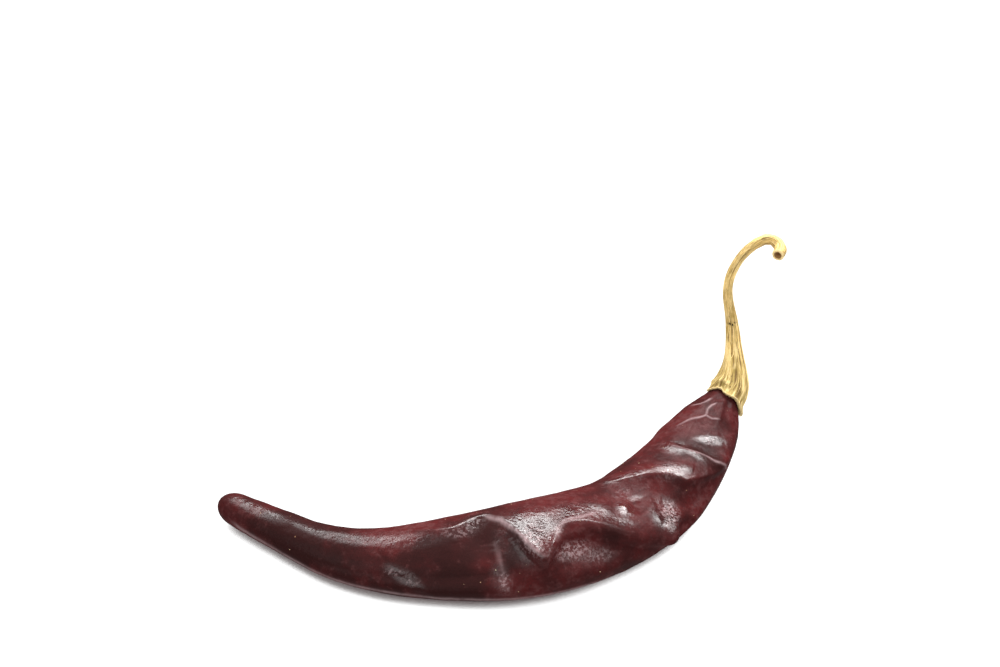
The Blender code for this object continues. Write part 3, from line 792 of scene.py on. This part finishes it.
def makeSkinFinish():
    s = skinLook
    f = Finish("chilliSkin", specular=s["specular"])
    p = {name: f.noise(f.place, *values) for name, values in s["patterns"].items()}
    colour = f.mix(f.band(p["cloudy"], 0.38, 0.64), s["dark"], s["maroon"])
    colour = f.mix(f.band(p["mottled"] * 0.35 + p["cloudy"] * 0.65, 0.46, 0.68), colour, s["red"])
    speckled = f.band(p["speckled"] * 0.6 + p["cloudy"] * 0.4, 0.50, 0.66)
    colour = f.mix(speckled * s["hazeShare"], colour, s["haze"])
    colour = f.mix(f.band(p["grain"], 0.52, 0.75) * s["grainShare"], colour, s["dark"])
    # pale spots in the pocked patches are painted glints of highlight; the pocks also raise the bump
    pockAndGlintSpots = f.band(p["pits"], 0.48, 0.60) * f.stored("pocksAndGlints")
    colour = f.mix(pockAndGlintSpots * s["glintShare"], colour, s["paintedHighlightColour"])
    # painted highlights and a painted reflection along the stored lines
    paintedHighlightShare = f.stored("paintedHighlight") * f.band(p["mottled"], 0.30, 0.60, 0.45, 1.0)
    colour = f.mix(paintedHighlightShare, colour, s["paintedHighlightColour"])
    f.feed("Base Color", colour)
    shine = f.band(p["mottled"] * 0.45 + p["grain"] * 0.55, 0.44, 0.62, *s["roughness"])
    dull = f.stored("dull")
    f.feed("Roughness", shine + dull * (s["dullRoughness"] - shine))
    coarse = f.bump(p["wrinkles"], *s["wrinkleBump"])
    surface = f.bump(p["grain"] * 0.55 + p["pores"] * 0.45 + pockAndGlintSpots * 0.15, *s["grainBump"], coarse)
    f.feed("Normal", surface)
    # where it is dull, most of the skin has no mirror at all
    plain = {"Base Color": colour, "Normal": surface}
    plain.update({"Roughness": s["plainRoughness"], "Specular IOR Level": 0.0})
    both = {1: Sock(f.tree, f.shader.outputs[0]), 2: f.add("ShaderNodeBsdfPrincipled", None, plain)}
    mixed = f.add("ShaderNodeMixShader", None, {0: dull * s["dullShare"], **both})
    plug(f.tree, f.tree.nodes["Material Output"].inputs["Surface"], mixed)
    return f.material


woodLook = {
    "straw": (0.68, 0.45, 0.14, 1),
    "olive": (0.38, 0.25, 0.062, 1),
    "moss": (0.20, 0.145, 0.030, 1),
    "pale": (0.82, 0.63, 0.31, 1),
    "bark": (0.11, 0.056, 0.013, 1),
    "pit": (0.26, 0.13, 0.04, 1),
    "fibre": (0.86, 0.66, 0.30, 1),
    # noise that is drawn out up the stem: stretch, scale, detail, roughness
    "patterns": {
        "streaks": (0.06, 2.6, 4.0, 0.65),
        "fine": (0.10, 4.6, 3.0, 0.6),
        "specks": (0.35, 4.2, 2.0, 0.5),
        "grooves": (0.04, 3.4, 3.0, 0.6),
    },
    "blotchScale": 180.0,
    # millimetres above the rim where the moss colour fades
    "mossFade": (5.0, 16.0),
    "specular": 0.3,
    "roughness": (0.62, 0.85),
    "bump": (0.7, 0.0004),
    "fibreRoughness": 0.7,
}


def makeWoodFinish():
    w = woodLook
    f = Finish("stemWood", specular=w["specular"])
    around = f.stored("woodPlace", "Vector")
    p = {name: f.noise(f.stretched(around, (1.0, 1.0, stretch)), *values)
         for name, (stretch, *values) in w["patterns"].items()}
    blotch = f.noise(f.place, w["blotchScale"], 3.0)
    height = f.add("ShaderNodeSeparateXYZ", None, {0: around}, "Z")
    colour = f.mix(f.band(p["streaks"], 0.38, 0.58), w["olive"], w["straw"])
    colour = f.mix(f.band(p["fine"], 0.50, 0.66) * 0.7, colour, w["pale"])
    colour = f.mix(f.band(blotch, 0.52, 0.75) * 0.5, colour, w["olive"])
    colour = f.mix((1 - f.band(height, *w["mossFade"])) * 0.75, colour, w["moss"])
    colour = f.mix(f.band(p["grooves"], 0.52, 0.60) * 0.85, colour, w["bark"])
    colour = f.mix((1 - f.band(p["grooves"], 0.36, 0.48)) * 0.6, colour, w["pale"])
    colour = f.mix(f.band(p["specks"], 0.62, 0.72) * 0.8, colour, w["bark"])
    colour = f.mix(f.stored("rim") * 0.7, colour, w["pale"])
    # the crack is painted in the skin's dark colour, a painted shade inside its real shallow groove
    colour = f.mix(f.stored("crack"), colour, skinLook["dark"])
    colour = f.mix(f.stored("pit"), colour, w["pit"])
    f.feed("Base Color", colour)
    f.feed("Roughness", f.band(p["fine"], 0.3, 0.7, *w["roughness"]))
    f.feed("Normal", f.bump(p["fine"] * 0.4 + p["streaks"] * 0.3 - p["grooves"] * 0.5, *w["bump"]))
    return f.material


def makeFibreFinish():
    f = Finish("stemFibre", specular=woodLook["specular"])
    uneven = f.band(f.noise(f.place, 220.0), 0.35, 0.65)
    f.feed("Base Color", f.mix(uneven, woodLook["olive"], woodLook["fibre"]))
    f.feed("Roughness", woodLook["fibreRoughness"])
    return f.material


class GeometryTree(Nodes):
    # a geometry node tree with named inputs, which is run on an object and leaves a plain mesh
    def __init__(self, name, **sizes):
        super().__init__(bpy.data.node_groups.new(name, "GeometryNodeTree"))
        self.slots = {}
        self.face("Geometry", "INPUT", "NodeSocketGeometry")
        self.face("Geometry", "OUTPUT", "NodeSocketGeometry")
        for label, (kind, value) in sizes.items():
            self.slots[label] = self.face(label, "INPUT", kind), value
        self.given = self.add("NodeGroupInput")

    def face(self, label, way, kind):
        return self.tree.interface.new_socket(label, in_out=way, socket_type=kind).identifier

    def input(self, label):
        return self.given.out(label)

    def run(self, start, name, geometry, finish):
        # the result is made of real faces with their material before it leaves the tree
        whole = self.add("GeometryNodeRealizeInstances", None, {0: geometry})
        whole = self.add("GeometryNodeSetMaterial", None, {"Geometry": whole, "Material": finish})
        self.add("NodeGroupOutput", None, {0: whole})
        bpy.context.scene.collection.objects.link(start)
        live = start.modifiers.new(name, "NODES")
        live.node_group = self.tree
        for identifier, value in self.slots.values():
            live[identifier] = value
        graph = bpy.context.evaluated_depsgraph_get()
        mesh = bpy.data.meshes.new_from_object(start.evaluated_get(graph), depsgraph=graph)
        start.modifiers.remove(live)
        bpy.data.objects.remove(start)
        mesh.name = name
        mesh.shade_smooth()
        return inScene(name, mesh)


fibreSettings = {
    "from": 154.6,
    "to": 199.0,
    "points": 90,
    "count": 34,
    "sides": 5,
    "thickness": 0.075,
    # share of the thickness that the thinnest part keeps, share that is the same everywhere on a fibre, and
    # how fast the rest varies up it
    "thinnest": 0.06,
    "even": 0.45,
    "unevenStep": 0.25,
    # share of the length over which a fibre grows at its foot, and from which it thins out
    "foot": 0.08,
    "thinsFrom": 0.75,
    # how far and how fast fibres wander round the stem, and how uneven their gaps are
    "drift": 0.55,
    "driftStep": 0.06,
    "gaps": 0.07,
    # how far outside the wood they start before they are laid on it
    "clear": 1.2,
}


def stemLine():
    # the stem's centre line, which holds what the tree needs to reach the wood from it
    f = fibreSettings
    along = np.linspace(f["from"], f["to"], f["points"])
    mesh = bpy.data.meshes.new("stemLine")
    steps = [(i, i + 1) for i in range(f["points"] - 1)]
    mesh.from_pydata((spine.place(along, 0 * along, 0 * along) * mm).tolist(), steps, [])
    line = bpy.data.objects.new("stemLine", mesh)
    keepValue(line, "sideways", spine.read(spine.sideways, along))
    keepValue(line, "upward", spine.read(spine.upward, along))
    keepValue(line, "height", along)
    keepValue(line, "reach", readTable(stemSettings["profile"], along - rimAt)[:, 0] + f["clear"])
    return line


def makeStemFibres(wood, finish):
    # raised fibres run up the calyx and stem, each laid on the wood's surface
    f = fibreSettings
    t = GeometryTree(
        "fibresAlongStem", Count=("NodeSocketInt", f["count"]), Wood=("NodeSocketObject", wood),
        Thickness=("NodeSocketFloat", f["thickness"] * mm), Drift=("NodeSocketFloat", f["drift"]))
    curve = t.add("GeometryNodeMeshToCurve", None, {"Mesh": t.input("Geometry")})
    many = {"Geometry": curve, "Amount": t.input("Count")}
    copies = t.add("GeometryNodeDuplicateElements", {"domain": "SPLINE"}, many)
    index = copies.out("Duplicate Index")
    height = t.named("height", "FLOAT")
    wander = t.noiseAt(index, height * f["driftStep"]) - 0.5
    turn = index * (2 * math.pi / f["count"]) + t.wave("SINE", index * 2.3) * f["gaps"]
    turn = turn + wander * t.input("Drift")
    reach = t.named("reach", "FLOAT") * mm
    sideways = t.scaled(t.named("sideways", "FLOAT_VECTOR"), t.wave("COSINE", turn) * reach)
    upward = t.scaled(t.named("upward", "FLOAT_VECTOR"), t.wave("SINE", turn) * reach)
    offset = t.add("ShaderNodeVectorMath", {"operation": "ADD"}, {0: sideways, 1: upward})
    spread = t.add("GeometryNodeSetPosition", None, {"Geometry": copies, "Offset": offset})
    held = {"Object": t.input("Wood")}
    surface = t.add("GeometryNodeObjectInfo", {"transform_space": "RELATIVE"}, held, "Geometry")
    nearest = t.add("GeometryNodeProximity", {"target_element": "FACES"}, {0: surface}, "Position")
    laid = t.add("GeometryNodeSetPosition", None, {"Geometry": spread, "Position": nearest})
    part = t.add("GeometryNodeSplineParameter", None, None, "Factor")
    thin = t.band(part, 0.0, f["foot"]) * (1 - t.band(part, f["thinsFrom"], 1.0))
    # the 40 keeps the noise apart from the one that the fibres wander by
    uneven = t.noiseAt(index + 40, height * f["unevenStep"])
    thin = thin * (f["even"] + uneven) + f["thinnest"]
    outline = {"Resolution": f["sides"], "Radius": t.input("Thickness")}
    ring = t.add("GeometryNodeCurvePrimitiveCircle", None, outline)
    tube = {"Curve": laid, "Profile Curve": ring, "Scale": thin, "Fill Caps": True}
    return t.run(stemLine(), "stemFibres", t.add("GeometryNodeCurveToMesh", None, tube), finish)


fleckSettings = {
    "perSquareMetre": 11000.0,
    "seed": 5,
    "smallest": 0.05,
    "largest": 0.17,
    # length, width and thickness, in shares of the size
    "shape": (1.0, 0.7, 0.3),
    # no fleck lies lower than this
    "lowest": 2.5,
    "colour": (0.55, 0.42, 0.26, 1),
    "darkColour": (0.30, 0.16, 0.08, 1),
    "roughness": 0.7,
}


def makeSkinFlecks(pod):
    # dry crumbs and dust that cling to the skin, none of them low down where the pod lies
    s = fleckSettings
    f = Finish("paleCrumb", specular=0.3)
    uneven = f.band(f.noise(f.place, 900.0), 0.4, 0.6)
    f.feed("Base Color", f.mix(uneven, s["colour"], s["darkColour"]))
    f.feed("Roughness", s["roughness"])
    start = bpy.data.objects.new("podCopy", pod.data.copy())
    t = GeometryTree(
        "flecksOnSkin", Density=("NodeSocketFloat", s["perSquareMetre"]), Seed=("NodeSocketInt", s["seed"]),
        Smallest=("NodeSocketFloat", s["smallest"] * mm), Largest=("NodeSocketFloat", s["largest"] * mm))
    skin = {"Mesh": t.input("Geometry"), "Density": t.input("Density"), "Seed": t.input("Seed")}
    spots = t.add("GeometryNodeDistributePointsOnFaces", None, skin)
    level = t.add("ShaderNodeSeparateXYZ", None, {0: t.add("GeometryNodeInputPosition")}, "Z")
    low = t.add("FunctionNodeCompare", {"operation": "LESS_THAN"}, {0: level, 1: s["lowest"] * mm})
    kept = t.add("GeometryNodeDeleteGeometry", {"domain": "POINT"}, {0: spots, 1: low})
    grain = t.add("GeometryNodeMeshIcoSphere", None, {"Radius": 1.0, "Subdivisions": 1})
    # sockets 2 and 3 are the number's least and most, and output 1 is the number
    draw = {2: t.input("Smallest"), 3: t.input("Largest"), "Seed": t.input("Seed")}
    size = t.add("FunctionNodeRandomValue", {"data_type": "FLOAT"}, draw, 1)
    shape = {axis: size * share for axis, share in enumerate(s["shape"])}
    scale = t.add("ShaderNodeCombineXYZ", None, shape)
    placed = {"Points": kept, "Instance": grain, "Rotation": spots.out("Rotation"), "Scale": scale}
    return t.run(start, "skinFlecks", t.add("GeometryNodeInstanceOnPoints", None, placed), f.material)


lightSettings = {
    # name: azimuth and elevation of the light seen from the pod, distance, width, height, watts
    "backSoftbox": (82, 48, 1.0, 0.80, 0.20, 16.0),
    "rightSoftbox": (36, 48, 1.0, 0.60, 0.22, 12.5),
    "leftSoftbox": (135, 46, 1.0, 0.70, 0.20, 5.0),
    "topFill": (-90, 74, 1.6, 2.4, 2.0, 12.0),
    "sideCard": (-28, 34, 1.0, 0.30, 0.20, 1.4),
    "leftCard": (-140, 30, 1.0, 0.80, 0.50, 4.0),
}
roomSettings = {
    # light of the room all round, low down behind the pod, under the horizon and straight below
    "around": 0.38,
    "behind": 0.10,
    "below": 0.10,
    "underfoot": 0.70,
    # parts of the room's sphere, -1 at its foot and 1 on top, over which one changes to the next
    "behindFade": (0.0, 0.5),
    "lowFade": (0.35, 0.62),
    "belowFade": (-0.1, 0.1),
    "underfootFade": (-0.6, -0.3),
}
floorSettings = {
    "half": 8.0,
    "colour": (0.10, 0.10, 0.10, 1),
    "roughness": (0.7, 0.9),
    "glow": 1.05,
    "glowColour": (1, 1, 1, 1),
    # a painted contact shadow, where the glow dies out as the chilli touches the table: reach in metres,
    # fade, colour that is left
    "paintedShadowReach": 0.0034,
    "paintedShadowFade": (0.33, 0.46),
    "paintedShadowColour": (0.11, 0.085, 0.085, 1),
}
cameraSettings = {
    "lens": 50,
    "sensor": 36,
    "place": (-2.5, -270.75, 215.88),
    "tilt": 58,
}


def makeFloor():
    s = floorSettings
    half = s["half"]
    mesh = bpy.data.meshes.new("floor")
    corners = [(-half, -half, 0), (half, -half, 0), (half, half, 0), (-half, half, 0)]
    mesh.from_pydata(corners, [], [(0, 1, 2, 3)])
    floor = inScene("floor", mesh)
    f = Finish("whiteTable", specular=0.1)
    f.feed("Base Color", s["colour"])
    f.feed("Roughness", f.band(f.noise(f.place, 40.0), 0.3, 0.7, *s["roughness"]))
    # painted contact shadow: the floor's glow is darkened by occlusion close to the chilli
    shadowOcclusion = f.add("ShaderNodeAmbientOcclusion", {"samples": 8}, {"Distance": s["paintedShadowReach"]}, "AO")
    f.feed("Emission Color", f.mix(f.band(shadowOcclusion, *s["paintedShadowFade"]), s["paintedShadowColour"], s["glowColour"]))
    f.feed("Emission Strength", s["glow"])
    floor.data.materials.append(f.material)
    # the glow lights the chilli, but the skin doesn't mirror it
    floor.visible_glossy = False


def makeLights():
    target = Vector((0, 0, 0.008))
    for name, (azimuth, elevation, distance, width, height, watts) in lightSettings.items():
        az, el = math.radians(azimuth), math.radians(elevation)
        toLight = Vector((math.cos(el) * math.cos(az), math.cos(el) * math.sin(az), math.sin(el)))
        lamp = bpy.data.lights.new(name, "AREA")
        lamp.shape = "RECTANGLE"
        lamp.size = width
        lamp.size_y = height
        lamp.energy = watts
        held = inScene(name, lamp)
        held.location = target + toLight * distance
        held.rotation_euler = (-toLight).to_track_quat("-Z", "Y").to_euler()


def makeRoom():
    # an even room that is darker low down behind the pod
    s = roomSettings
    world = bpy.context.scene.world or bpy.data.worlds.new("room")
    bpy.context.scene.world = world
    world.use_nodes = True
    room = Nodes(world.node_tree)
    split = {0: room.add("ShaderNodeTexCoord", out="Generated")}
    height = room.add("ShaderNodeSeparateXYZ", None, split, "Z")
    behind = room.band(room.add("ShaderNodeSeparateXYZ", None, split, "Y"), *s["behindFade"])
    low = 1 - room.band(height, *s["lowFade"])
    below = 1 - room.band(height, *s["belowFade"])
    underfoot = 1 - room.band(height, *s["underfootFade"])
    level = s["around"] + low * behind * (s["behind"] - s["around"])
    level = level + below * (s["below"] - level)
    level = level + underfoot * (s["underfoot"] - s["below"])
    background = room.tree.nodes["Background"]
    plug(room.tree, background.inputs["Strength"], level)
    background.inputs["Color"].default_value = (1, 1, 1, 1)


def makeCamera():
    s = cameraSettings
    lens = bpy.data.cameras.new("camera")
    lens.lens = s["lens"]
    lens.sensor_width = s["sensor"]
    lens.clip_start = 0.01
    held = inScene("camera", lens)
    held.location = Vector(s["place"]) * mm
    held.rotation_euler = (math.radians(s["tilt"]), 0, 0)
    bpy.context.scene.camera = held
    bpy.context.scene.view_settings.view_transform = "Standard"


pod = makePod()
pod.data.materials.append(makeSkinFinish())
flecks = makeSkinFlecks(pod)
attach(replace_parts(pod, "pod"), "root")
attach(flecks, "root")
print("pod made:", len(pod.data.polygons), "faces, flecks:", len(flecks.data.polygons))

wood = makeWood()
wood.data.materials.append(makeWoodFinish())
fibres = makeStemFibres(wood, makeFibreFinish())
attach(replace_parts(wood, "calyx_and_stem"), "root")
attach(fibres, "root")
print("calyx and stem made:", len(wood.data.polygons), "faces, fibres:", len(fibres.data.polygons))

makeFloor()
makeLights()
makeRoom()
makeCamera()
print("floor, lights, room and camera made")
